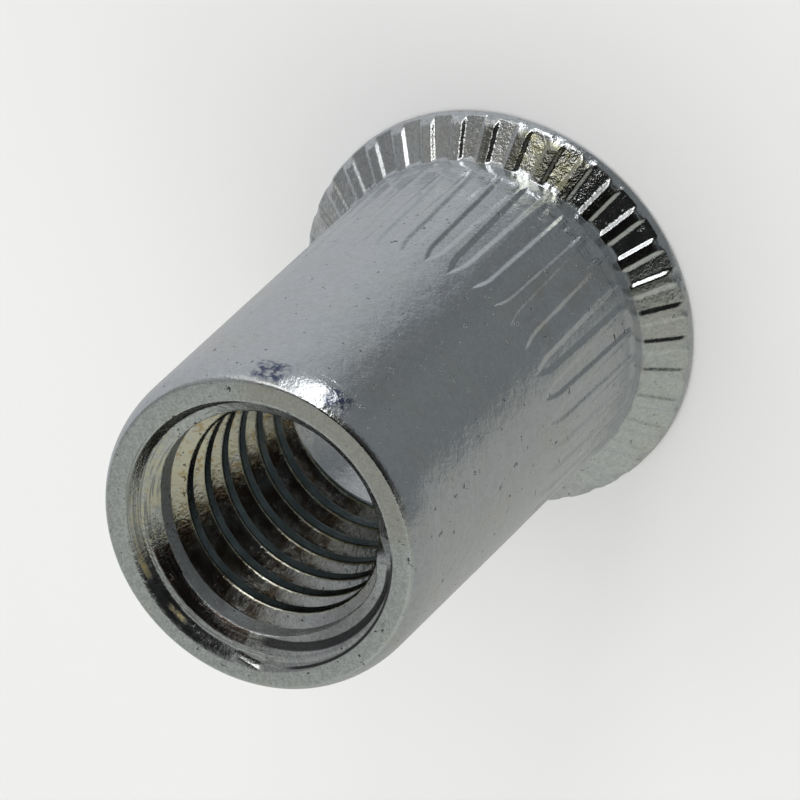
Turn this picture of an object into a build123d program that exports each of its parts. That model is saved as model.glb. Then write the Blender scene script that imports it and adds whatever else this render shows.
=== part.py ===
"""Rivet nut: a turned and headed steel insert with a serrated head, a fluted shank and a threaded end.

Units are millimetres. The flat face of the head lies on z = 0 and the axis of the nut is +Z, so the nut
stands on its head. The origin is the centre of that face.
"""

import math
import os

from build123d import *

os.makedirs("parts", exist_ok=True)

# Shank
shank_diameter = 11.0
overall_length = 18.0
nose_length = 1.25  # axial run of the rounded lead-in at the free end
nose_inset = 0.31  # how far the end ring lies inside the shank

# Threaded end, bored at the tapping size of M8 x 1.25
tapping_diameter = 6.8
mouth_diameter = 9.1  # wide end of the 45 degree lead into the thread

# Counterbore, the thin-walled length that folds when the nut is set
counterbore_diameter = 9.0
counterbore_depth = 8.5  # from the head's face to where the tapping bore starts
counterbore_tip_angle = 120.0  # included angle that the drill leaves at its end
counterbore_lead = 0.3

# Head
head_diameter = 13.42
rim_height = 0.38
head_height = 1.27  # where the underside of the head meets the shank
face_edge_radius = 0.12

# Serrations under the head: raised ribs with pressed pockets between them
serration_count = 36
rib_height = 0.10
rib_width = 0.30  # across its flat top
rib_wall_angle = 45.0
rib_end_inset = 0.15  # radial run of the slope from a rib's top down to the rim
pocket_setback = 0.12  # from the shank to a pocket's floor
rim_notch_depth = 0.06  # how far the rim falls back at the cone end of each rib
rim_notch_radius = 0.5

# Flutes round the head end of the shank: flat-floored, pointed at the free end and widening to the head
flute_count = 40
flute_end_height = 8.4  # where each flute runs out to a point
flute_tip_length = 1.2  # length of that pointed end
flute_depth = 0.055
flute_wall_slope = 18.0  # of the side walls, from the shank's surface
flute_tip_width = 0.48  # where the pointed end begins
flute_root_width = 0.92  # at the head

# How far cutters reach past what they cut
overshoot = 1.0
cut_clearance = 0.05

# Radii, angles and the slope of the head's underside, worked out from the sizes above
shank_radius = shank_diameter / 2
head_radius = head_diameter / 2
tapping_radius = tapping_diameter / 2
mouth_radius = mouth_diameter / 2
counterbore_radius = counterbore_diameter / 2
slope_run = head_radius - shank_radius
slope_drop = head_height - rim_height
slope_length = math.hypot(slope_run, slope_drop)
rib_rise = rib_height * slope_length / slope_run  # the rib's height measured along Z
rib_wall_run = rib_height * math.tan(math.radians(90 - rib_wall_angle))
half_pitch_angle = 180 / serration_count


def underside_height(radius):
    """Height of a pocket's floor at a radius from the axis."""
    return head_height - (radius - shank_radius) * slope_drop / slope_run


# One pocket: a tapered prism that stands on the sloping underside and widens outwards, as the ribs
# beside it keep their width. Its sketch has x down the slope from the shank and y around the axis.
underside = Plane(
    origin=(shank_radius, 0, head_height),
    x_dir=(slope_run, 0, -slope_drop),
    z_dir=(slope_drop, 0, slope_run),
)
pocket_start = pocket_setback + rib_wall_run
pocket_end = slope_length + rib_wall_run + overshoot


def pocket_half_width(distance):
    """Half the floor's width at a distance down the slope: half the pitch less half a rib and its wall."""
    radius = shank_radius + distance * slope_run / slope_length
    return radius * math.tan(math.radians(half_pitch_angle)) - rib_width / 2 - rib_wall_run


with BuildPart() as pocket:
    with BuildSketch(underside):
        with BuildLine():
            Polyline(
                (pocket_start, -pocket_half_width(pocket_start)),
                (pocket_end, -pocket_half_width(pocket_end)),
                (pocket_end, pocket_half_width(pocket_end)),
                (pocket_start, pocket_half_width(pocket_start)),
                close=True,
            )
        make_face()
    extrude(amount=rib_height + cut_clearance, taper=rib_wall_angle - 90)

# One rim notch: a cone that only touches the rim where its rounded edge ends and bites deepest at the ribs.
with BuildPart() as rim_notch:
    with Locations((head_radius + rim_notch_radius - rim_notch_depth, 0, face_edge_radius)):
        Cone(
            bottom_radius=rim_notch_radius - rim_notch_depth,
            top_radius=rim_notch_radius,
            height=rim_height + rib_rise - face_edge_radius,
            align=(Align.CENTER, Align.CENTER, Align.MIN),
        )

# One flute cutter: a low prism on a plane that lies at the flute's floor and faces outwards, with x
# around the shank and y towards the free end. Its walls lean out from that floor, so the outline drawn
# here is the wanted one at the shank's surface, less the run of a wall.
flute_floor = Plane(origin=(shank_radius - flute_depth, 0, 0), x_dir=(0, 1, 0), z_dir=(1, 0, 0))
flute_wall_run = flute_depth / math.tan(math.radians(flute_wall_slope))
tip_half_width = flute_tip_width / 2 - flute_wall_run
root_half_width = flute_root_width / 2 - flute_wall_run
shoulder_height = flute_end_height - flute_tip_length
tip_slope = flute_tip_width / 2 / flute_tip_length
floor_tip_height = shoulder_height + tip_half_width / tip_slope
with BuildPart() as flute:
    with BuildSketch(flute_floor):
        with BuildLine():
            Polyline(
                (-root_half_width, rim_height),
                (root_half_width, rim_height),
                (tip_half_width, shoulder_height),
                (0, floor_tip_height),
                (-tip_half_width, shoulder_height),
                close=True,
            )
        make_face()
    extrude(amount=flute_depth + cut_clearance, taper=flute_wall_slope - 90)

# The head: a coned disc as high as the ribs, with the pockets pressed into it.
with BuildPart() as head:
    with BuildSketch(Plane.XZ):
        with BuildLine():
            rib_end_radius = head_radius - rib_end_inset
            Polyline(
                (0, 0),
                (head_radius, 0),
                (head_radius, rim_height),
                (rib_end_radius, underside_height(rib_end_radius) + rib_rise),
                (shank_radius, head_height + rib_rise),
                (0, head_height + rib_rise),
                close=True,
            )
        profile = make_face()
        face_corner = profile.vertices().sort_by(Axis.X)[-2:].sort_by(Axis.Y)[0]
        fillet(face_corner, radius=face_edge_radius)
    revolve(axis=Axis.Z)
    with PolarLocations(0, serration_count):
        add(pocket.part, mode=Mode.SUBTRACT)
    with PolarLocations(0, serration_count, start_angle=half_pitch_angle):
        add(rim_notch.part, mode=Mode.SUBTRACT)

# The nut: the shank with its nose and flutes, the head around it, and the bores through both.
with BuildPart() as rivet_nut:
    with BuildSketch(Plane.XZ):
        with BuildLine():
            end_edge = (shank_radius - nose_inset, overall_length)
            nose_start = (shank_radius, overall_length - nose_length)
            Polyline(end_edge, (0, overall_length), (0, 0), (shank_radius, 0), nose_start)
            TangentArc(nose_start, end_edge, tangent=(0, 1))
        make_face()
    revolve(axis=Axis.Z)
    with PolarLocations(0, flute_count):
        add(flute.part, mode=Mode.SUBTRACT)
    add(head.part)

    with BuildSketch(Plane.XZ):
        with BuildLine():
            tip_run = (counterbore_radius - tapping_radius) / math.tan(math.radians(counterbore_tip_angle / 2))
            Polyline(
                (0, 0),
                (counterbore_radius + counterbore_lead, 0),
                (counterbore_radius, counterbore_lead),
                (counterbore_radius, counterbore_depth - tip_run),
                (tapping_radius, counterbore_depth),
                (tapping_radius, overall_length - (mouth_radius - tapping_radius)),
                (mouth_radius, overall_length),
                (0, overall_length),
                close=True,
            )
        make_face()
    revolve(axis=Axis.Z, mode=Mode.SUBTRACT)

rivet_nut.part.label = "rivet_nut"
export_step(rivet_nut.part, "parts/rivet_nut.step")
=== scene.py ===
import math

import bpy
import numpy as np
from mathutils import Matrix, Vector


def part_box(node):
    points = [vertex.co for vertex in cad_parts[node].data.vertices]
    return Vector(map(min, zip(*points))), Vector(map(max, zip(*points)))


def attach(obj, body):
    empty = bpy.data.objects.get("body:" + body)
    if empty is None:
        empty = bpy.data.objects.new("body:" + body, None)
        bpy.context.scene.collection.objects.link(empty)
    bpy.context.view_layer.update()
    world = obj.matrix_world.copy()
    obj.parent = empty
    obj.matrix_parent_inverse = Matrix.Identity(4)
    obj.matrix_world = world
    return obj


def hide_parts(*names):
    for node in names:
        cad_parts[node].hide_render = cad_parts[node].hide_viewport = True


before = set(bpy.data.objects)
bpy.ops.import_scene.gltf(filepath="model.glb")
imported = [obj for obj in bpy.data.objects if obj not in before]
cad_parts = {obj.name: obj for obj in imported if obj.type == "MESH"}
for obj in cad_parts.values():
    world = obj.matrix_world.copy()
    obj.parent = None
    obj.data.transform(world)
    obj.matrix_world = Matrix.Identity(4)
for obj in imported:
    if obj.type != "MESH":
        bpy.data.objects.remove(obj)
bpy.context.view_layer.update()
mm = 0.001
nodeLow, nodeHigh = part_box("rivet_nut")
nutLength = (nodeHigh[2] - nodeLow[2]) / mm
headRadius = (nodeHigh[0] - nodeLow[0]) / 2 / mm
print("frame loaded: nut %.2f mm long, head %.2f mm across" % (nutLength, 2 * headRadius))


def fade(t):
    # s-curve: 3t^2 - 2t^3, with t held between 0 and 1
    t = np.clip(t, 0.0, 1.0)
    return t * t * (3.0 - 2.0 * t)


def ease(t):
    # half a straight ramp and half an s-curve, held between 0 and 1
    return 0.5 * np.clip(t, 0.0, 1.0) + 0.5 * fade(t)


def offCentre(angle, count):
    # signed angle to the nearest of `count` equally spaced centres, the first of them at angle 0
    pitch = 2 * math.pi / count
    return (angle + pitch / 2) % pitch - pitch / 2


def turnOf(columns):
    # one full turn cut into equal steps, as a row of angles
    return np.arange(columns) * (2 * math.pi / columns)


def ring(radius, height, angle):
    # points at (radius cos angle, radius sin angle, height); each argument may be a number or an array
    radius, height, angle = np.broadcast_arrays(radius, height, angle)
    return np.stack([radius * np.cos(angle), radius * np.sin(angle), height], -1)


# Shank with its flutes and rounded nose
shank = {
    "radius": 5.5,
    "fluteCount": 40,
    "fluteEnd": 8.4,  # height of the pointed tips
    "fluteTip": 1.25,  # length of the pointed part
    "fluteFoot": 1.75,  # height where the flutes have run out above the head
    "fluteRunOut": 0.45,  # and over what length they do
    "fluteTurn": -0.6,  # degrees that the real flutes lie off their even places
    "fluteDepth": 0.055,
    "fluteWall": 0.17,  # width of each sloping side wall
    "tipHalfWidth": 0.27,
    "fluteSpread": 0.022,  # half width gained per mm towards the head
    "plainHeights": (8.62, 11.0, 13.5, 16.0),  # rows of the smooth length above the flutes
    "noseLength": 1.25,
    "noseInset": 0.31,
    "noseTurn": 68.0,  # how far round its quarter ellipse the nose goes
    "noseSteps": 10,
    "seamDepth": 0.004,  # fine line where the nose starts
    "seamRows": (0.05, 0.02),  # rows that keep it narrow, by their distance below it
    "endEdge": [(0.022, 0.040), (-0.004, 0.012), (-0.040, 0.0), (-0.12, 0.0)],  # rounding: steps out, down
}


def fluteDepth(angle, height):
    # depth x eased (outline half width - arc distance from the flute's centre line) / wall width, where the
    # half width is a pointed arch, tip x t(2 - t), plus a steady spread; it fades out just above the head
    below = shank["fluteEnd"] - height
    t = np.clip(below / shank["fluteTip"], 0.0, 1.0)
    half = shank["tipHalfWidth"] * t * (2.0 - t) + shank["fluteSpread"] * np.maximum(below, 0.0)
    turned = angle - math.radians(shank["fluteTurn"])
    across = np.abs(offCentre(turned, shank["fluteCount"])) * shank["radius"]
    foot = fade((height - shank["fluteFoot"]) / shank["fluteRunOut"])
    return shank["fluteDepth"] * ease((half - across) / shank["fluteWall"]) * foot


def noseLine():
    # quarter ellipse cut short: r = R - a(1 - cos t), z = start + b sin t, with a and b set by the inset and
    # the length
    end = math.radians(shank["noseTurn"])
    a = shank["noseInset"] / (1.0 - math.cos(end))
    b = shank["noseLength"] / math.sin(end)
    t = np.linspace(0.0, end, shank["noseSteps"] + 1)[1:]
    return shank["radius"] - a * (1.0 - np.cos(t)), nutLength - shank["noseLength"] + b * np.sin(t)


# Head: coned underside with raised ribs, pressed pockets and a scalloped rim
head = {
    "ribCount": 36,
    "ribHeight": 0.10,  # measured along the axis
    "ribHalf": 0.15,  # half width of a rib's top
    "ribWall": 0.14,
    "ribEnd": 0.17,  # run of the slope that ends a rib at the rim
    "pocketStart": -0.03,  # from the shank to the pocket's edge
    "pocketWall": 0.11,
    "coneFoot": 1.27,  # height where the cone meets the shank
    "rimHeight": 0.38,
    "rimStep": 0.015,  # how far the cone starts inside the rim
    "edgeRadius": 0.12,
    "shallowTurn": -130.0,  # the middle of the side where the ribs are pressed less high
    "shallowHalf": 56.0,  # half its width and the run of its ends, in degrees too
    "shallowRun": 10.0,
    "shallowShare": 0.5,  # share of the height that the ribs lose there
    "notchDepth": 0.06,
    "notchHalf": 0.25,
}


def rimNotch(angle):
    # parabola over each rib's end: depth x (1 - (arc distance / half width)^2), never negative
    across = offCentre(angle + math.pi / head["ribCount"], head["ribCount"]) * headRadius
    return head["notchDepth"] * np.maximum(0.0, 1.0 - (across / head["notchHalf"]) ** 2)


def ribColumns(columns, radius):
    # angles that crowd at the ribs' walls: of every half pitch's fifteen steps five cross the pocket's floor,
    # six the wall and four half the rib's top
    perPitch = columns // head["ribCount"]
    place = (np.arange(columns) + perPitch // 2) % perPitch - perPitch // 2
    halfPitch = math.pi / head["ribCount"]
    wallTop = halfPitch - head["ribHalf"] / radius
    wallFoot = wallTop - head["ribWall"] / radius
    offset = np.sign(place) * np.interp(np.abs(place), [0, 5, 11, 15], [0.0, wallFoot, wallTop, halfPitch])
    return (np.arange(columns) - place) * (2 * math.pi / columns) + offset


def coneHeight(angle, radius, rimRadius):
    # straight cone from shank to rim, plus the rib height wherever no pocket is pressed; a pocket is the
    # product of two ramps, one out from the shank and one in from the ribs on both sides, and the rib height
    # falls to a share of itself on one side of the head
    slope = (head["coneFoot"] - head["rimHeight"]) / (headRadius - shank["radius"])
    out = radius - shank["radius"]
    floor = head["coneFoot"] - out * slope
    across = np.abs(offCentre(angle, head["ribCount"])) * radius
    halfPitch = math.pi / head["ribCount"] * radius
    pocket = ease((halfPitch - head["ribHalf"] - across) / head["ribWall"])
    pocket *= fade((out - head["pocketStart"]) / head["pocketWall"])
    ending = fade((rimRadius - radius) / head["ribEnd"])
    fromMiddle = np.abs((np.degrees(angle) - head["shallowTurn"] + 180.0) % 360.0 - 180.0)
    shallow = fade((head["shallowHalf"] - fromMiddle) / head["shallowRun"])
    ribHeight = head["ribHeight"] * (1.0 - head["shallowShare"] * shallow)
    return floor + ribHeight * (1.0 - pocket) * ending


def headRows(even):
    # rows from the head's face over the rim and up the cone to the shank, each row once round the nut; the
    # columns follow the ribs and come back to even spacing where the cone meets the shank
    edge = head["edgeRadius"]
    atRim = ribColumns(len(even), headRadius)
    notch = rimNotch(atRim)
    rows = []
    for turn in (0.0, 30.0, 60.0, 90.0):
        t = math.radians(turn)
        rows.append(ring(headRadius - edge + edge * math.sin(t), edge - edge * math.cos(t), atRim))
    top = coneHeight(atRim, headRadius - notch, headRadius - notch)
    for rise in (0.4, 0.85):
        rows.append(ring(headRadius - notch * rise, edge + (top - edge) * rise, atRim))
    shares = [0.0, 0.02, 0.045, 0.075, 0.11, 0.15, 0.22, 0.36, 0.52, 0.68, 0.80, 0.88, 0.91, 0.93, 0.95]
    crowding = [1.0] * len(shares) + [0.7, 0.35, 0.0]
    for share, crowd in zip(shares + [0.965, 0.98, 1.0], crowding):
        nominal = headRadius + (shank["radius"] - headRadius) * share
        angle = even + (ribColumns(len(even), nominal) - even) * crowd
        rim = headRadius - rimNotch(angle)
        foot = shank["radius"] - fluteDepth(angle, head["coneFoot"] + head["ribHeight"])
        radius = rim + (foot - rim) * share
        height = coneHeight(angle, radius, rim)
        rows.append(ring(radius - (head["rimStep"] if share == 0.0 else 0.0), height, angle))
    return rows


def shankRows(angle):
    # the fluted length, r = R - flute depth, in rows that lie closer together at both ends
    start = head["coneFoot"] + head["ribHeight"]
    heights = np.concatenate([
        start + np.array([0.03, 0.12, 0.26, 0.40]),
        np.array([1.9, 2.0, 2.1, 2.2, 2.4]),
        np.linspace(2.8, 6.9, 9),
        np.linspace(7.1, 8.5, 12),
    ])
    return [ring(shank["radius"] - fluteDepth(angle, h), h, angle) for h in heights]


def noseRows(angle):
    # plain cylinder above the flutes, a fine dip where the nose starts, the nose's ellipse and the rounding
    # from its edge to the end ring
    noseStart = nutLength - shank["noseLength"]
    heights = [*shank["plainHeights"], *(noseStart - drop for drop in shank["seamRows"])]
    rows = [ring(shank["radius"], h, angle) for h in heights]
    rows.append(ring(shank["radius"] - shank["seamDepth"], noseStart, angle))
    noseRadius, noseHeight = noseLine()
    rows += [ring(r, h, angle) for r, h in zip(noseRadius[:-1], noseHeight[:-1])]
    return rows + [ring(noseRadius[-1] + out, nutLength - down, angle) for out, down in shank["endEdge"]]


# Bore: the thread and the counterbore
bore = {
    "pitch": 1.25,
    "crestRadius": 3.4,
    "rootRadius": 4.06,
    "crestHalf": 0.21,  # half width of a crest's flat
    "flank": 60.0,  # slope of the flanks, in degrees from the axis
    "edgeRounding": 0.03,
    "rootRows": (0.02, 0.07),  # rows beside the root's flat
    "topGap": 0.02,  # between the last of the thread's rows and the foot of the bored-out face
    "ridgeEnd": 263.0,  # degrees round the nut where the top turn of the ridge stops, squared off
    "ridgeEndHeight": 17.57,
    "drillHeight": 8.5,  # where the drilled cone below the thread starts
    "drillSlope": 60.0,
    "counterRadius": 4.5,
    "counterLead": 0.3,
    "leadRounding": 0.02,
    "coneRounding": 0.017,  # rise of the row that rounds the cone's foot
    "faceRing": 5.4,  # radius of the row that divides the head's flat face
}
flankSlope = math.tan(math.radians(bore["flank"]))
drillSlope = math.tan(math.radians(bore["drillSlope"]))

# Mouth: its section in a few directions. The first lies where the ridge has just stopped, and the last at its
# squared end, once round the nut.
mouth = {
    "lines": ("edge", "wallTop", "wallFoot", "flankTop", "flankFoot", "faceTop", "cutRadius"),
    "sections": [  # direction, radius and height of each line, and how wide the top turn is bored out
        (-97, (4.56, 18.0), (4.45, 17.96), (4.16, 17.0), (4.08, 16.92), (3.41, 16.50), (3.40, 16.47), 3.40),
        (-47, (4.51, 18.0), (4.45, 17.96), (4.18, 17.15), (4.08, 17.08), (3.43, 16.70), (3.42, 16.67), 3.42),
        (13, (4.50, 18.0), (4.45, 17.96), (4.22, 17.40), (4.16, 17.33), (3.79, 17.10), (3.78, 17.07), 3.78),
        (43, (4.50, 18.0), (4.45, 17.96), (4.24, 17.50), (4.18, 17.44), (3.83, 17.22), (3.82, 17.19), 3.82),
        (63, (4.52, 18.0), (4.46, 17.955), (4.25, 17.57), (4.165, 17.50), (3.80, 17.27), (3.79, 17.24), 3.79),
        (83, (4.56, 18.0), (4.47, 17.95), (4.25, 17.58), (4.13, 17.56), (3.66, 17.26), (3.65, 17.23), 3.65),
        (108, (4.66, 18.0), (4.50, 17.93), (4.27, 17.62), (4.06, 17.62), (3.61, 17.31), (3.60, 17.28), 3.60),
        (133, (4.74, 18.0), (4.54, 17.92), (4.31, 17.71), (4.03, 17.71), (3.66, 17.43), (3.65, 17.40), 3.65),
        (168, (4.72, 18.0), (4.54, 17.93), (4.35, 17.83), (4.07, 17.83), (3.67, 17.56), (3.66, 17.53), 3.66),
        (203, (4.58, 18.0), (4.50, 17.96), (4.44, 17.93), (4.20, 17.91), (4.00, 17.60), (3.66, 17.50), 3.66),
        (223, (4.57, 18.0), (4.50, 17.96), (4.45, 17.95), (4.30, 17.93), (4.12, 17.66), (3.72, 17.59), 3.72),
        (238, (4.58, 18.0), (4.50, 17.95), (4.45, 17.91), (4.42, 17.90), (4.22, 17.66), (3.86, 17.62), 3.84),
        (251, (4.58, 18.0), (4.52, 17.96), (4.48, 17.93), (4.47, 17.92), (4.26, 17.70), (3.98, 17.67), 3.95),
        (255, (4.57, 18.0), (4.52, 17.98), (4.49, 17.97), (4.47, 17.96), (4.43, 17.94), (3.95, 17.88), 3.93),
        (263, (4.56, 18.0), (4.52, 17.98), (4.49, 17.97), (4.47, 17.96), (4.44, 17.94), (3.95, 17.88), 3.93),
    ],
    "smoothing": 9.0,  # degrees on each side
    "lip": 0.03,  # from the edge to the row just outside it
    "rows": [  # the two lines that rows lie between, and at what shares of the way
        ("edge", "wallTop", (0.12, 0.75)),
        ("wallTop", "wallFoot", (0.1, 0.9)),
        ("wallFoot", "flankTop", (0.15, 0.85)),
        ("flankTop", "flankFoot", (0.1, 0.92)),
        ("flankFoot", "faceTop", (0.1, 0.9)),
        ("faceTop", "faceFoot", (0.04, 0.96)),
    ],
    "facetFrom": 163.0,  # a short facet left on the wall by the tool
    "facetTo": 175.5,
    "facetTwist": 0.12,
    "facetLines": [("wallTop", 4.575, 17.955), ("wallFoot", 4.44, 17.79)],  # mean radius, height
}


def sinceEnd(angle):
    # degrees round the nut, counted so that they only jump at the squared end of the ridge
    turned = np.degrees(angle) % 360.0
    return np.where(turned > bore["ridgeEnd"], turned - 360.0, turned)


def mouthLine(name, angle):
    # one of the mouth's lines as its radius and height: straight steps between the sections, averaged over a
    # few degrees on each side, but never across the squared end of the ridge
    column = 1 + mouth["lines"].index(name)
    direction = [section[0] for section in mouth["sections"]]
    listed = np.array([section[column] for section in mouth["sections"]]).reshape(len(direction), -1)
    grid = np.linspace(direction[0], direction[-1], 721)  # two to a degree
    reach = int(mouth["smoothing"] * 2)
    weight = np.hanning(2 * reach + 3)[1:-1]
    lines = []
    for values in listed.T:
        line = np.pad(np.interp(grid, direction, values), reach, mode="edge")
        lines.append(np.interp(sinceEnd(angle), grid, np.convolve(line, weight / weight.sum(), mode="valid")))
    return lines


def crestHeight(angle, turnNumber):
    # the ridge climbs one pitch a turn: end height + pitch x (turn + (angle - end angle) / full turn)
    share = (angle - math.radians(bore["ridgeEnd"])) / (2 * math.pi)
    return bore["ridgeEndHeight"] + bore["pitch"] * (turnNumber + share)


def faceFoot(angle):
    # height where the bored-out face of the top turn meets that turn's lower flank:
    # crest line - half flat - (cut radius - crest radius) / flank slope
    cut = mouthLine("cutRadius", angle)[0]
    middle = crestHeight(np.radians(sinceEnd(angle)), 0)
    return middle - bore["crestHalf"] - (cut - bore["crestRadius"]) / flankSlope


def drillLine(radius):
    # height of the drilled cone at a radius: start - (radius - crest radius) / drill slope
    return bore["drillHeight"] - (radius - bore["crestRadius"]) / drillSlope


def boreRadius(angle, height):
    # the wider of the thread and the drilled cone below it; the thread is crest + (distance from the crest
    # line along the axis - half flat) x flank slope, never wider than the root
    turnNumber = np.round((height - crestHeight(angle, 0)) / bore["pitch"])
    away = np.abs(height - crestHeight(angle, turnNumber)) - bore["crestHalf"]
    thread = np.minimum(bore["crestRadius"] + np.maximum(0.0, away) * flankSlope, bore["rootRadius"])
    drilled = bore["crestRadius"] + (bore["drillHeight"] - height) * drillSlope
    return np.maximum(thread, drilled)


def threadRows(columns):
    # rows that follow the helix, thirteen to a groove: they lie close together at the edges of each crest and
    # at the root, so that the faces between stay flat, and all are held between the drilled cone and the
    # mouth; the last column is the first one a pitch further up
    angle = turnOf(columns + 1) * (columns + 1) / columns
    edge = bore["edgeRounding"]
    bottom = drillLine(bore["rootRadius"])
    half = bore["pitch"] / 2 - bore["crestHalf"]
    flat = half - (bore["rootRadius"] - bore["crestRadius"]) / flankSlope
    low = math.floor((bottom - bore["ridgeEndHeight"]) / bore["pitch"]) - 1
    centre = crestHeight(angle, np.arange(low, 1)[:, None]) + bore["pitch"] / 2
    top = faceFoot(angle)
    side = [flat + beside for beside in bore["rootRows"]]
    side += [half - 2 * edge, half - edge, half + edge, half + 2 * edge]
    rows = [np.full_like(centre, row) for row in [-row for row in side[::-1]] + side]
    rows.append(np.clip(bore["drillHeight"] - centre, half + 2 * edge, bore["pitch"] - half - 2 * edge))
    height = (np.stack(rows, 1) + centre[:, None]).reshape(-1, columns + 1)
    height = np.minimum(np.maximum.accumulate(np.maximum(height, bottom), axis=0), top - bore["topGap"])
    height = np.concatenate([height, top[None]])
    angle[-1] = 0.0
    around = np.broadcast_to(angle, height.shape)
    return ring(boreRadius(around, height), height, around)


def cutFacet(lines, angle):
    # on the facet the wall is steep and turned out of the round: radius + twist x (-1 to 1 along the facet)
    along = (sinceEnd(angle) - mouth["facetFrom"]) / (mouth["facetTo"] - mouth["facetFrom"]) * 2 - 1
    for name, radius, height in mouth["facetLines"]:
        facet = np.array([radius + mouth["facetTwist"] * along, np.full_like(along, height)])
        lines[name] = np.where(np.abs(along) <= 1, facet, lines[name])


def mouthRows(angle):
    # from the end ring inwards along the mouth's lines, line + (next line - line) x share, with a rounding on
    # each side of most of them, to the foot of the bored-out face
    lines = {name: np.array(mouthLine(name, angle)) for name in mouth["lines"][:-1]}
    cutFacet(lines, angle)
    foot = faceFoot(angle)
    lines["faceFoot"] = np.array([boreRadius(angle, foot), foot])
    steps = [lines["edge"] + np.array([[mouth["lip"]], [0.0]])]
    for first, second, shares in mouth["rows"]:
        steps += [lines[first] + (lines[second] - lines[first]) * share for share in shares]
    steps.append(lines["faceFoot"])
    return [ring(radius, height, angle) for radius, height in steps]


def counterRows(angle):
    # from the thread's root down the drilled cone, the counterbore's wall and its 45 degree lead to the face
    wall, lead = bore["counterRadius"], bore["counterLead"]
    small, edge = bore["leadRounding"], bore["edgeRounding"]
    coneFoot = drillLine(wall)
    line = [
        (bore["rootRadius"], drillLine(bore["rootRadius"])),
        (wall - edge, coneFoot + bore["coneRounding"]),
        (wall, coneFoot - edge),
        (wall, lead + edge),
        (wall + small, lead - small),
        (wall + lead - small, small),
        (wall + lead + edge, 0.0),
        (bore["faceRing"], 0.0),
    ]
    return [ring(radius, height, angle) for radius, height in line]


# Skin: one closed mesh of all these rows
skin = {
    "columns": 1080,  # round the head and the flutes; the rest has a quarter as many
    "weldSteps": 2e4,  # steps to a mm; points in the same step become one
}


def stitch(lower, upper):
    # quads between two rows of equal length that each close on themselves, as pairs of triangles
    a, b = lower, upper
    c, d = np.roll(upper, -1), np.roll(lower, -1)
    return np.concatenate([np.stack([a, d, c], -1), np.stack([a, c, b], -1)])


def fan(coarse, fine):
    # triangles between a row of n points and a row of 4n: four on each fine step and one on the coarse step
    nextCoarse = np.roll(coarse, -1)
    f = fine.reshape(len(coarse), 4)
    ends = [f[:, 0], f[:, 1], f[:, 2], f[:, 3], np.roll(f[:, 0], -1)]
    corners = [(coarse, ends[0], ends[1]), (coarse, ends[1], ends[2])]
    corners += [(nextCoarse, ends[2], ends[3]), (nextCoarse, ends[3], ends[4]), (coarse, ends[2], nextCoarse)]
    return np.concatenate([np.stack(corner, -1) for corner in corners])


def buildNut():
    # three stretches of rows, the fluted skin, the nose with the mouth and the counterbore, are joined by
    # fans where their columns change from fine to coarse, and the thread's band closes the bore between them
    fineAngle, coarseAngle = turnOf(skin["columns"]), turnOf(skin["columns"] // 4)
    points, faces, count = [], [], 0

    def addRows(rows):
        # puts in the rows' points and joins each row to the next; returns the numbers of the first and last
        nonlocal count
        index = count + np.arange(len(rows) * len(rows[0])).reshape(len(rows), -1)
        points.extend(rows)
        count += index.size
        faces.extend(stitch(lower, upper) for lower, upper in zip(index[:-1], index[1:]))
        return index[0], index[-1]

    outerFirst, outerLast = addRows(headRows(fineAngle) + shankRows(fineAngle))
    upperFirst, _ = addRows(noseRows(coarseAngle) + mouthRows(coarseAngle))
    faces.append(fan(upperFirst, outerLast))
    _, tailLast = addRows(counterRows(coarseAngle))
    faces.append(fan(tailLast, outerFirst)[:, ::-1])

    # the thread, whose last column lies a pitch above its first and isn't joined to it
    band = threadRows(len(coarseAngle))
    grid = count + np.arange(band.shape[0] * band.shape[1]).reshape(band.shape[:2])
    points.extend(band)
    a, b = grid[:-1, :-1].ravel(), grid[1:, :-1].ravel()
    c, d = grid[1:, 1:].ravel(), grid[:-1, 1:].ravel()
    faces += [np.stack([a, b, c], -1), np.stack([a, c, d], -1)]

    # points that fall together become one, and triangles that lose a corner go
    allPoints = np.concatenate(points)
    steps = np.round(allPoints * skin["weldSteps"]).astype(np.int64)
    _, kept, back = np.unique(steps, axis=0, return_index=True, return_inverse=True)
    tri = back.reshape(-1)[np.concatenate(faces)]
    good = (tri[:, 0] != tri[:, 1]) & (tri[:, 1] != tri[:, 2]) & (tri[:, 0] != tri[:, 2])
    return allPoints[kept], tri[good]


def meshFrom(name, points, tri):
    # an object from points in mm and triangles, smooth all over
    mesh = bpy.data.meshes.new(name)
    mesh.vertices.add(len(points))
    mesh.vertices.foreach_set("co", (points * mm).astype(np.float32).ravel())
    mesh.loops.add(tri.size)
    mesh.loops.foreach_set("vertex_index", tri.astype(np.int32).ravel())
    mesh.polygons.add(len(tri))
    mesh.polygons.foreach_set("loop_start", (np.arange(len(tri)) * 3).astype(np.int32))
    mesh.polygons.foreach_set("use_smooth", np.ones(len(tri), bool))
    mesh.update(calc_edges=True)
    mesh.validate()
    piece = bpy.data.objects.new(name, mesh)
    bpy.context.scene.collection.objects.link(piece)
    return piece


points, tri = buildNut()
edgeEnds = np.sort(np.concatenate([tri[:, [0, 1]], tri[:, [1, 2]], tri[:, [2, 0]]]), axis=1)
_, edgeUses = np.unique(edgeEnds, axis=0, return_counts=True)
openEdges = int((edgeUses != 2).sum())
print("nut skin: %d points, %d triangles, edges not shared by two: %d" % (len(points), len(tri), openEdges))
va, vb, vc = points[tri[:, 0]], points[tri[:, 1]], points[tri[:, 2]]
print("nut skin encloses %.1f mm3" % (np.einsum("ij,ij->i", va, np.cross(vb, vc)).sum() / 6))
nut = meshFrom("nut_body", points, tri)
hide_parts("rivet_nut")
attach(nut, "root")


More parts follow.
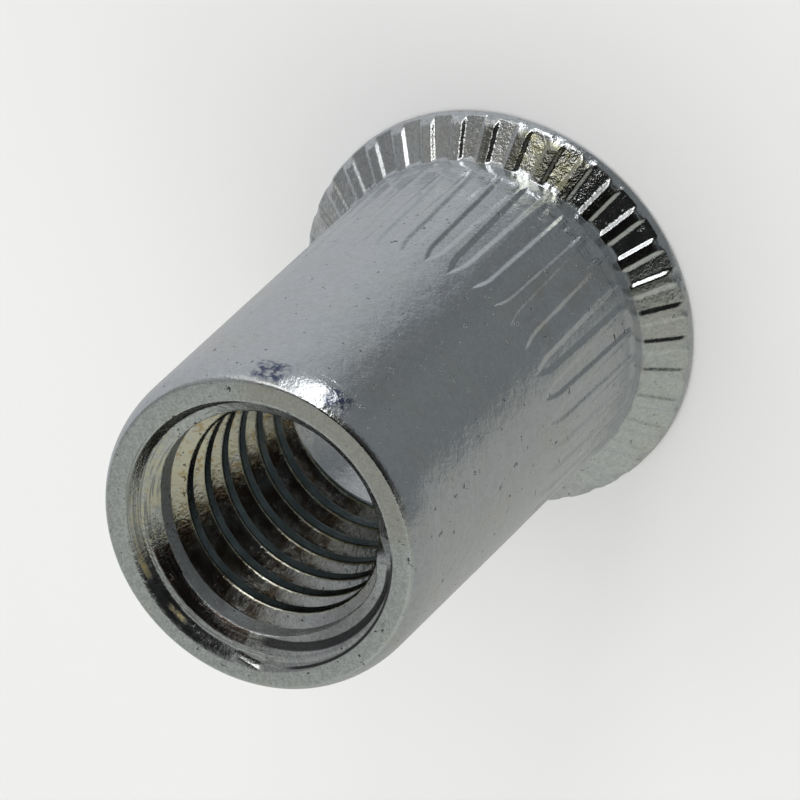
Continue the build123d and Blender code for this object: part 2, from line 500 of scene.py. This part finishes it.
def feed(tree, socket, value):
    # links another node's output to a socket, or sets the socket to a number, vector or colour
    if isinstance(value, bpy.types.NodeSocket):
        tree.links.new(value, socket)
    else:
        socket.default_value = value


def wire(tree, kind, settings=None, **inputs):
    # adds a node, sets its properties, then feeds its inputs by name, or by number as i0, i1 and so on
    node = tree.nodes.new(kind)
    for key, value in (settings or {}).items():
        setattr(node, key, value)
    for key, value in inputs.items():
        feed(tree, node.inputs[int(key[1:]) if key[1:].isdigit() else key], value)
    return node


def calc(tree, operation, first, second=0.0, third=0.0):
    # one Math node: returns its value
    return wire(tree, "ShaderNodeMath", {"operation": operation}, i0=first, i1=second, i2=third).outputs[0]


def chain(tree, operation, first, *others):
    # all the values taken together by one kind of Math node, such as their product
    for other in others:
        first = calc(tree, operation, first, other)
    return first


def remap(tree, value, low, high, toLow=0.0, toHigh=1.0):
    # value carried from low..high to toLow..toHigh along an s-curve, and held there
    settings = {"interpolation_type": "SMOOTHSTEP", "clamp": True}
    node = wire(tree, "ShaderNodeMapRange", settings, i0=value, i1=low, i2=high, i3=toLow, i4=toHigh)
    return node.outputs[0]


def window(tree, value, low, high, soft):
    # 1 between low and high, falling to 0 over `soft` on both sides
    return calc(tree, "MULTIPLY", remap(tree, value, low - soft, low), remap(tree, value, high + soft, high))


def blendColour(tree, share, first, second):
    # first colour towards the second by share
    settings = {"data_type": "RGBA", "clamp_factor": True}
    return wire(tree, "ShaderNodeMix", settings, i0=share, i6=first, i7=second).outputs[2]


def noise(tree, vector, scale, detail, roughness):
    # fractal noise from 0 to 1: scale is in cycles a unit of the vector, detail in octaves
    inputs = {"Vector": vector, "Scale": scale, "Detail": detail, "Roughness": roughness}
    return wire(tree, "ShaderNodeTexNoise", {"noise_dimensions": "3D"}, **inputs).outputs["Fac"]


def groupTree(name, sockets):
    # an empty node group with the named inputs and outputs
    tree = bpy.data.node_groups.new(name, "ShaderNodeTree")
    for label, direction, kind in sockets:
        tree.interface.new_socket(name=label, in_out=direction, socket_type=kind)
    return tree, tree.nodes.new("NodeGroupInput"), tree.nodes.new("NodeGroupOutput")


def inDegrees(tree, value):
    # radians to degrees: value x 180 / pi
    return calc(tree, "MULTIPLY", value, 180 / math.pi)


def nutPlace(tree):
    # object coordinates in millimetres, with the angle round the axis in degrees and the distance from it
    coordinate = tree.nodes.new("ShaderNodeTexCoord").outputs["Object"]
    place = wire(tree, "ShaderNodeVectorMath", {"operation": "SCALE"}, i0=coordinate, Scale=1 / mm).outputs[0]
    x, y, z = wire(tree, "ShaderNodeSeparateXYZ", i0=place).outputs
    squares = [calc(tree, "MULTIPLY", side, side) for side in (x, y)]
    radius = calc(tree, "SQRT", calc(tree, "ADD", *squares))
    return place, inDegrees(tree, calc(tree, "ARCTAN2", y, x)), radius, z


# Plating: the colours and noises that all five finishes share
plating = {
    "marks": ("Tint", "Stain", "Mottle", "Pits", "Waves", "Grain", "Gloss"),
    "colour": (0.77, 0.80, 0.83, 1.0),
    "paints": {
        "Tint": (0.80, 0.70, 0.46, 1.0),  # yellow passivate
        "Stain": (0.46, 0.33, 0.20, 1.0),  # brown stains
        "Mottle": (0.36, 0.38, 0.38, 1.0),  # the darker half of the mottling
        "Pits": (0.10, 0.10, 0.11, 1.0),
    },
    # levels of the noise between which each mark sets in
    "cuts": {"Tint": (0.45, 0.72), "Stain": (0.56, 0.74), "Mottle": (0.62, 0.38), "Pits": (0.66, 0.71)},
    "noises": {  # scale, detail, roughness
        "wave": (0.9, 3.0, 0.5),
        "cloud": (0.55, 4.0, 0.6),
        "blotch": (1.9, 4.0, 0.65),
        "speck": (4.5, 3.0, 0.7),
        "fine": (11.0, 2.0, 0.6),
        "pit": (3.4, 3.0, 0.7),
    },
    "glossRange": (0.3, 0.7, -0.05, 0.05),  # blotches make the gloss uneven by this much
    "pitDullness": 0.3,
    "speckHeight": 1.4,
    "fineHeight": 0.6,
    "pitHeight": -3.0,
    "bumpHeight": 0.00001,
    "spotNoise": (4.0, 0.7),  # detail and roughness of the noise that breaks up a patch
    "ringNoise": (16.0, 2.0, 0.6),  # the tool's rings in the mouth, and the levels that they are cut between
    "ringCuts": (0.48, 0.60),
    "ribSoftness": 0.3,  # of the ribs' dark tops, in degrees
    "roughTurns": (-50.0, 8.0, 14.0),  # where the pockets' floors are rougher: from, to, softness
    "roughGrain": 1.6,
}


def marksGroup():
    # plating colour, yellowed and browned by two soft noises, mottled by a finer mix and darkened in pits;
    # the height is slow waves plus two sizes of grain, less the pits
    sockets = [(label, "INPUT", "NodeSocketFloat") for label in plating["marks"]]
    sockets += [("Color", "OUTPUT", "NodeSocketColor")]
    sockets += [(label, "OUTPUT", "NodeSocketFloat") for label in ("Roughness", "Height")]
    tree, given, result = groupTree("plating marks", sockets)
    amount = given.outputs
    place = nutPlace(tree)[0]
    layer = {name: noise(tree, place, *numbers) for name, numbers in plating["noises"].items()}
    halves = [calc(tree, "MULTIPLY", layer[name], 0.5) for name in ("speck", "fine")]
    sources = [layer["cloud"], layer["blotch"], calc(tree, "ADD", *halves), layer["pit"]]
    colour = plating["colour"]
    for label, source in zip(plating["paints"], sources):
        share = calc(tree, "MULTIPLY", remap(tree, source, *plating["cuts"][label]), amount[label])
        colour = blendColour(tree, share, colour, plating["paints"][label])
    pits = share  # the last of the four
    rough = calc(tree, "ADD", amount["Gloss"], remap(tree, layer["blotch"], *plating["glossRange"]))
    rough = calc(tree, "MULTIPLY_ADD", pits, plating["pitDullness"], rough)
    grain = calc(tree, "MULTIPLY", layer["fine"], plating["fineHeight"])
    grain = calc(tree, "MULTIPLY_ADD", layer["speck"], plating["speckHeight"], grain)
    height = calc(tree, "MULTIPLY", layer["wave"], amount["Waves"])
    height = calc(tree, "MULTIPLY_ADD", grain, amount["Grain"], height)
    height = calc(tree, "MULTIPLY_ADD", pits, plating["pitHeight"], height)
    for label, value in (("Color", colour), ("Roughness", rough), ("Height", height)):
        feed(tree, result.inputs[label], value)
    return tree


marks = marksGroup()


def onRibs(tree, angle, radius, z):
    # 1 on the ribs' tops: distance from a pocket's middle against half the pitch less half a rib, in degrees
    halfPitch = 180.0 / head["ribCount"]
    across = calc(tree, "PINGPONG", calc(tree, "ADD", angle, 360.0), halfPitch)
    ribEdge = calc(tree, "ADD", calc(tree, "DIVIDE", -math.degrees(head["ribHalf"]), radius), halfPitch)
    soft = plating["ribSoftness"]
    return remap(tree, calc(tree, "SUBTRACT", across, ribEdge), -soft, soft)


def toolRings(tree, angle, radius, z):
    # fine rings left by the tool: a noise that depends on radius and height alone
    along = wire(tree, "ShaderNodeCombineXYZ", i0=radius, i2=z).outputs[0]
    return remap(tree, noise(tree, along, *plating["ringNoise"]), *plating["ringCuts"])


# painted shade: the dark slope beside the squared end of the ridge, and the dark edge of the ring
step = {
    "turn": 178.0,  # direction in degrees where the slope's inner side has this radius
    "radius": 3.74,
    "widening": 0.0075,  # and how much wider it grows a degree
    "slopeWidth": (0.02, 0.20, 0.05),  # windows, as below
    "slopeTurns": (176.0, 258.0, 6.0),
    "edgeRadii": (4.50, 4.565, 0.02),
    "edgeTurns": (190.0, 263.0, 8.0),
}


def slantedStepShade(tree, angle, radius, z):
    # 1 where shade is painted: on a slope that runs slantwise outwards to the squared end of the ridge, r =
    #                           start +
    # widening x (angle - start), and on the edge of the ring beside it
    turned = calc(tree, "FLOORED_MODULO", angle, 360.0)
    since = calc(tree, "SUBTRACT", turned, step["turn"])
    start = calc(tree, "MULTIPLY_ADD", since, step["widening"], step["radius"])
    slope = window(tree, calc(tree, "SUBTRACT", radius, start), *step["slopeWidth"])
    slope = calc(tree, "MULTIPLY", slope, window(tree, turned, *step["slopeTurns"]))
    edge = window(tree, radius, *step["edgeRadii"])
    edge = calc(tree, "MULTIPLY", edge, window(tree, turned, *step["edgeTurns"]))
    return calc(tree, "MAXIMUM", slope, edge)


# Patches laid over the plating, from the lowest up. Turns (degrees round the nut), radii and heights (mm) are
# windows: from, to, softness. Spots are a noise's scale and the two levels that it is cut between. A strength
# is the most that the colour covers, and dulls is how much a patch roughens the gloss.
shankPatches = [
    {  # dark blue spots on the nose on both sides of its brightest part
        "turns": [(-36.0, -31.0, 3.0), (-12.0, -5.0, 4.0)],
        "radii": (5.2, 6.0, 0.1),
        "heights": (17.1, 17.7, 0.25),
        "spots": (4.0, 0.40, 0.58),
        "strength": 0.92,
        "colour": (0.07, 0.09, 0.20),
    },
    {  # faint brown cast low on the flutes
        "turns": [(-64.0, -48.0, 5.0)],
        "heights": (2.2, 7.0, 1.0),
        "spots": (0.8, 0.40, 0.62),
        "strength": 0.35,
        "colour": (0.60, 0.54, 0.46),
    },
]
headPatches = [
    {  # olive tint in two or three of the pockets
        "turns": [(-34.0, -17.0, 4.0)],
        "radii": (5.68, 6.55, 0.08),
        "spots": (2.4, 0.30, 0.62),
        "strength": 0.7,
        "colour": (0.50, 0.48, 0.24),
        "dulls": 0.1,
    },
    {  # the ribs' tops are darker over a part of the head
        "turns": [(-72.0, -6.0, 6.0)],
        "radii": (5.4, 6.5, 0.08),
        "pattern": onRibs,
        "strength": 0.75,
        "colour": (0.14, 0.14, 0.12),
    },
]
borePatches = [
    {  # cream passivate on a third of the thread
        "turns": [(20.0, 106.0, 6.0)],
        "spots": (1.6, 0.25, 0.55),
        "strength": 0.8,
        "colour": (0.82, 0.77, 0.60),
    },
    {  # small brown-yellow spots on the cream part
        "turns": [(20.0, 110.0, 6.0)],
        "spots": (3.6, 0.52, 0.62),
        "strength": 0.75,
        "colour": (0.58, 0.42, 0.20),
    },
    {  # brown stains on the next part round, together with painted shade where the flanks mirror the dark side of the studio
        "turns": [(103.0, 160.0, 4.0)],
        "spots": (1.5, 0.36, 0.60),
        "strength": 0.85,
        "colour": (0.20, 0.13, 0.08),
    },
    {"radii": (0.0, 3.41, 0.03), "strength": 0.92, "colour": (0.04, 0.066, 0.07)},  # painted shade on the crests' flats, which mirror the far side of the bore
    {"radii": (3.43, 3.46, 0.02), "strength": 0.55, "colour": (0.82, 0.80, 0.62)},  # painted highlight along the crests' edges
]
mouthPatches = [
    {  # a little cream passivate low in the mouth
        "turns": [(50.0, 104.0, 8.0)],
        "radii": (3.0, 4.42, 0.1),
        "spots": (2.0, 0.38, 0.62),
        "strength": 0.7,
        "colour": (0.82, 0.76, 0.56),
    },
    {  # painted shade on the part of the mouth's flank that mirrors the dark side of the studio
        "turns": [(106.0, 165.0, 2.0)],
        "radii": (3.0, 4.02, 0.08),
        "strength": 0.85,
        "colour": (0.16, 0.10, 0.08),
    },
    {  # the ring is greyer on the side towards the brightest part of the nose
        "turns": [(-80.0, -8.0, 14.0)],
        "radii": (4.6, 5.4, 0.05),
        "strength": 0.5,
        "colour": (0.52, 0.50, 0.42),
    },
    {  # the tool's rings, as a faint darkening
        "turns": [(60.0, 250.0, 20.0)],
        "radii": (3.0, 4.55, 0.04),
        "pattern": toolRings,
        "strength": 1.0,
        "colour": (0.40, 0.41, 0.42),
    },
    # painted shade, near black, on that slope and on the ring's edge
    {"pattern": slantedStepShade, "strength": 0.92, "colour": (0.06, 0.06, 0.065), "dulls": 0.1},
    {  # two gold patches high on the mouth's wall, a warm stain painted bright as a highlight
        "turns": [(108.0, 114.0, 4.0), (131.0, 136.0, 4.0)],
        "radii": (4.42, 4.48, 0.06),
        "spots": (4.0, 0.30, 0.58),
        "strength": 1.0,
        "colour": (0.98, 0.84, 0.46),
        "dulls": 0.35,
    },
]


def patchMask(tree, patch):
    # windows on direction, which are added up, on radius and on height, a noise that breaks the patch into
    # spots and its own pattern, all multiplied together and by its strength
    place, angle, radius, z = nutPlace(tree)
    factors = []
    if "turns" in patch:
        factors.append(chain(tree, "ADD", *(window(tree, angle, *turn) for turn in patch["turns"])))
    for key, value in (("heights", z), ("radii", radius)):
        if key in patch:
            factors.append(window(tree, value, *patch[key]))
    if "spots" in patch:
        scale, low, high = patch["spots"]
        factors.append(remap(tree, noise(tree, place, scale, *plating["spotNoise"]), low, high))
    if "pattern" in patch:
        factors.append(patch["pattern"](tree, angle, radius, z))
    return chain(tree, "MULTIPLY", *factors, patch["strength"])


def pocketGrain(tree):
    # the head's grain, which grows from 1 to its roughest on one side of the nut
    side = window(tree, nutPlace(tree)[1], *plating["roughTurns"])
    return remap(tree, side, 0.0, 1.0, 1.0, plating["roughGrain"])


# Finishes, in the order of the nut's material slots: the amounts of the shared marks, in the order that
# plating lists them, and the patches
finishes = {
    "zinc plating, shank": ((0.15, 0.10, 0.20, 0.75, 5.0, 1.0, 0.17), shankPatches),
    "zinc plating, serrated head": ((0.15, 0.20, 0.30, 0.50, 3.0, pocketGrain, 0.15), headPatches),
    "zinc plating, thread": ((0.20, 0.30, 0.35, 0.80, 1.5, 1.2, 0.16), borePatches),
    "zinc plating, turned mouth": ((0.10, 0.10, 0.50, 0.90, 1.5, 1.1, 0.20), mouthPatches),
    "bored steel, scuffed": ((0.10, 0.10, 0.25, 0.70, 1.0, 5.0, 0.48), []),
}


def platingMaterial(name, amounts, patches):
    # the shared marks in their own amounts, which may vary over the nut, then the patches' colours blended in
    # one after another, some of which dull the gloss too
    material = bpy.data.materials.new(name)
    material.use_nodes = True
    tree = material.node_tree
    shader = tree.nodes["Principled BSDF"]
    values = [amount(tree) if callable(amount) else amount for amount in amounts]
    group = wire(tree, "ShaderNodeGroup", {"node_tree": marks}, **dict(zip(plating["marks"], values)))
    colour, rough = group.outputs["Color"], group.outputs["Roughness"]
    for patch in patches:
        share = patchMask(tree, patch)
        colour = blendColour(tree, share, colour, (*patch["colour"], 1.0))
        if "dulls" in patch:
            rough = calc(tree, "MULTIPLY_ADD", share, patch["dulls"], rough)
    bump = wire(tree, "ShaderNodeBump", Distance=plating["bumpHeight"], Height=group.outputs["Height"])
    bump.inputs["Strength"].default_value = 1.0
    shader.inputs["Metallic"].default_value = 1.0
    for label, value in (("Base Color", colour), ("Roughness", rough), ("Normal", bump.outputs["Normal"])):
        feed(tree, shader.inputs[label], value)
    return material


zones = {
    "headMargin": 0.005,  # the head's finish goes this far above the ribs' tops at the shank
    "headInside": 0.2,  # and this far inside the shank's radius
    "threadBelow": 0.6,  # the thread's goes this far below the start of the drilled cone
    "ringMargin": 0.03,  # the mouth's stops this far inside the end ring's outer edge
    "faceMargin": 0.02,  # the scuffed one reaches this far past the bored-out face
}


def layFinishes():
    # each face takes the finish of the zone that its middle lies in: shank 0, head 1, thread 2, mouth 3 and
    # bored-out face 4
    for name, (amounts, patches) in finishes.items():
        nut.data.materials.append(platingMaterial(name, amounts, patches))
    centres = points[tri].mean(1)
    outward = np.hypot(centres[:, 0], centres[:, 1])
    around = np.arctan2(centres[:, 1], centres[:, 0])
    height = centres[:, 2]
    aboveFace = height > faceFoot(around)
    ribTop = head["coneFoot"] + head["ribHeight"]
    widest = max(section[1][0] for section in mouth["sections"])
    ringEdge = shank["radius"] - shank["noseInset"]
    zone = np.zeros(len(tri), np.int32)
    zone[(height < ribTop + zones["headMargin"]) & (outward > shank["radius"] - zones["headInside"])] = 1
    zone[(outward < widest) & (height > bore["drillHeight"] - zones["threadBelow"])] = 2
    zone[aboveFace & (outward < ringEdge - zones["ringMargin"])] = 3
    zone[aboveFace & (outward < mouthLine("cutRadius", around)[0] + zones["faceMargin"])] = 4
    nut.data.polygons.foreach_set("material_index", zone)
    counts = tuple(np.bincount(zone, minlength=len(finishes)))
    print("finishes laid: %d shank, %d head, %d thread, %d mouth and %d scuffed faces" % counts)


layFinishes()

view = {
    "azimuth": 313.0,  # direction from the nut to the camera, anticlockwise from +X
    "elevation": 54.388,
    "distance": 420.57,
    "lens": 603.1,
    "sensor": 36.0,
    "clip": (0.01, 10.0),  # nearest and farthest that it sees, in metres
    "target": 7.65,  # height on the axis that the camera looks at
    "roll": -133.45,
}


def makeCamera():
    # the camera stands on a sphere round the target and is turned about its own line of sight
    a, e, roll = (math.radians(view[k]) for k in ("azimuth", "elevation", "roll"))
    back = Vector((math.cos(a) * math.cos(e), math.sin(a) * math.cos(e), math.sin(e)))
    right = Vector((-math.sin(a), math.cos(a), 0.0))
    up = back.cross(right)
    camRight = right * math.cos(roll) + up * math.sin(roll)
    camUp = up * math.cos(roll) - right * math.sin(roll)
    data = bpy.data.cameras.new("camera")
    data.lens, data.sensor_width = view["lens"], view["sensor"]
    data.clip_start, data.clip_end = view["clip"]
    camera = bpy.data.objects.new("camera", data)
    place = Vector((0, 0, view["target"] * mm)) + back * view["distance"] * mm
    turn = Matrix((camRight, camUp, back)).transposed().to_4x4()
    camera.matrix_world = Matrix.Translation(place) @ turn
    bpy.context.scene.collection.objects.link(camera)
    bpy.context.scene.camera = camera


makeCamera()

floorLook = {"half": 0.6, "colour": (0.86, 0.86, 0.86, 1.0), "roughness": 0.9}


def makeFloor():
    # a flat square under the nut; the metal doesn't mirror it, so the nut's undersides show the studio
    mesh = bpy.data.meshes.new("floor")
    h = floorLook["half"]
    mesh.from_pydata([(-h, -h, 0), (h, -h, 0), (h, h, 0), (-h, h, 0)], [], [(0, 1, 2, 3)])
    floor = bpy.data.objects.new("floor", mesh)
    bpy.context.scene.collection.objects.link(floor)
    material = bpy.data.materials.new("pale floor")
    material.use_nodes = True
    shader = material.node_tree.nodes["Principled BSDF"]
    shader.inputs["Base Color"].default_value = floorLook["colour"]
    shader.inputs["Roughness"].default_value = floorLook["roughness"]
    shader.inputs["Specular IOR Level"].default_value = 0.0
    mesh.materials.append(material)
    floor.visible_glossy = False
    floor.visible_shadow = False


makeFloor()

# Studio that the plating mirrors. Directions are in degrees, anticlockwise from the camera's, and elevations
# are above the horizon; windows are from, to, softness.
studio = {
    "low": [  # colour of the lower band by direction
        (-180, (0.44, 0.44, 0.43)), (-160, (0.41, 0.41, 0.39)), (-140, (0.37, 0.37, 0.35)),
        (-100, (0.34, 0.34, 0.32)), (-64, (0.31, 0.315, 0.30)), (-56, (0.29, 0.295, 0.28)),
        (-49, (0.163, 0.172, 0.174)), (0, (0.172, 0.184, 0.188)), (14, (0.150, 0.158, 0.162)),
        (28, (0.162, 0.170, 0.175)), (36, (0.22, 0.23, 0.24)), (44, (0.305, 0.32, 0.33)),
        (60, (0.38, 0.40, 0.41)), (80, (0.45, 0.46, 0.47)), (140, (0.44, 0.445, 0.455)),
        (160, (0.47, 0.475, 0.48)), (180, (0.44, 0.44, 0.43)),
    ],
    "high": [
        (-180, (0.37, 0.38, 0.35)), (-138, (0.44, 0.45, 0.41)), (-100, (0.42, 0.43, 0.38)),
        (-74, (0.355, 0.36, 0.32)), (-59, (0.285, 0.29, 0.26)), (-43, (0.10, 0.10, 0.09)),
        (-25, (0.03, 0.03, 0.03)), (12, (0.035, 0.035, 0.03)), (33, (0.155, 0.15, 0.09)),
        (50, (0.26, 0.25, 0.195)), (66, (0.165, 0.16, 0.14)), (80, (0.185, 0.185, 0.18)),
        (93, (0.33, 0.33, 0.315)), (104, (0.285, 0.285, 0.28)), (118, (0.20, 0.20, 0.20)),
        (135, (0.20, 0.20, 0.195)), (150, (0.295, 0.30, 0.28)), (180, (0.37, 0.38, 0.35)),
    ],
    "lowTop": -5.0,  # elevations between which the low band gives way to the high one
    "highFoot": 12.0,
    "strips": [
        {"turns": (30.0, 42.0, 4.0), "heights": (-35.0, 43.0, 4.0), "brightness": 2.4},
        {"turns": (52.0, 62.0, 8.0), "heights": (18.0, 35.0, 4.0), "brightness": 1.3},
        {"turns": (69.0, 74.0, 12.0), "heights": (-6.0, 18.0, 6.0), "brightness": 0.7},
    ],
    "discs": [  # the camera's dark surroundings, a little clockwise of it, and a dark disc nearly overhead
        {"turn": -12.0, "height": view["elevation"], "radius": 25.0, "softness": 6.0},
        {"turn": 7.5, "height": 72.0, "radius": 27.0, "softness": 3.0},
    ],
    "discColour": (0.012, 0.012, 0.012, 1.0),
}


def bandColour(tree, share, stops):
    # a colour ramp round the horizon, with each direction carried from -180..180 to 0..1
    ramp = wire(tree, "ShaderNodeValToRGB", Fac=share)
    elements = ramp.color_ramp.elements
    while len(elements) < len(stops):
        elements.new(0.5)
    for element, (degrees, colour) in zip(elements, stops):
        element.position = degrees / 360 + 0.5
        element.color = (*colour, 1.0)
    return ramp.outputs["Color"]


def studioWorld():
    # two bands of colour round the horizon, mixed by elevation, and over them three soft strips and two dark
    # discs, where the camera stands and overhead
    world = bpy.data.worlds.new("studio")
    bpy.context.scene.world = world
    world.use_nodes = True
    tree = world.node_tree
    direction = tree.nodes.new("ShaderNodeTexCoord").outputs["Generated"]
    turn = wire(tree, "ShaderNodeMapping", {"vector_type": "POINT"}, Vector=direction)
    turn.inputs["Rotation"].default_value = (0.0, 0.0, -math.radians(view["azimuth"]))
    turned = turn.outputs[0]
    x, y, z = wire(tree, "ShaderNodeSeparateXYZ", i0=turned).outputs
    compass = inDegrees(tree, calc(tree, "ARCTAN2", y, x))
    elevation = inDegrees(tree, calc(tree, "ARCSINE", z))
    share = calc(tree, "MULTIPLY_ADD", compass, 1 / 360, 0.5)
    low, high = (bandColour(tree, share, studio[key]) for key in ("low", "high"))
    colour = blendColour(tree, remap(tree, elevation, studio["lowTop"], studio["highFoot"]), low, high)
    for strip in studio["strips"]:
        sides, ends = window(tree, compass, *strip["turns"]), window(tree, elevation, *strip["heights"])
        white = (*[strip["brightness"]] * 3, 1.0)
        colour = blendColour(tree, calc(tree, "MULTIPLY", sides, ends), colour, white)
    for disc in studio["discs"]:
        a, e = math.radians(disc["turn"]), math.radians(disc["height"])
        middle = (math.cos(e) * math.cos(a), math.cos(e) * math.sin(a), math.sin(e))
        facing = wire(tree, "ShaderNodeVectorMath", {"operation": "DOT_PRODUCT"}, i0=turned, i1=middle)
        facing = calc(tree, "MINIMUM", facing.outputs["Value"], 1.0)
        away = inDegrees(tree, calc(tree, "ARCCOSINE", facing))
        mask = remap(tree, away, disc["radius"] + disc["softness"], disc["radius"] - disc["softness"])
        colour = blendColour(tree, mask, colour, studio["discColour"])
    background = tree.nodes["Background"]
    feed(tree, background.inputs["Color"], colour)
    background.inputs["Strength"].default_value = 1.0


studioWorld()

lamp = {"place": (0.0, 0.0, 0.9), "size": 1.2, "power": 9.0}


def makeLamp():
    # a soft square lamp that lights the floor from above; the metal doesn't mirror it
    data = bpy.data.lights.new("overhead", "AREA")
    data.shape = "SQUARE"
    data.size = lamp["size"]
    data.energy = lamp["power"]
    light = bpy.data.objects.new("overhead", data)
    light.location = lamp["place"]
    light.visible_glossy = False
    bpy.context.scene.collection.objects.link(light)


makeLamp()
bpy.context.scene.view_settings.view_transform = "Standard"

print("camera, floor and light placed")
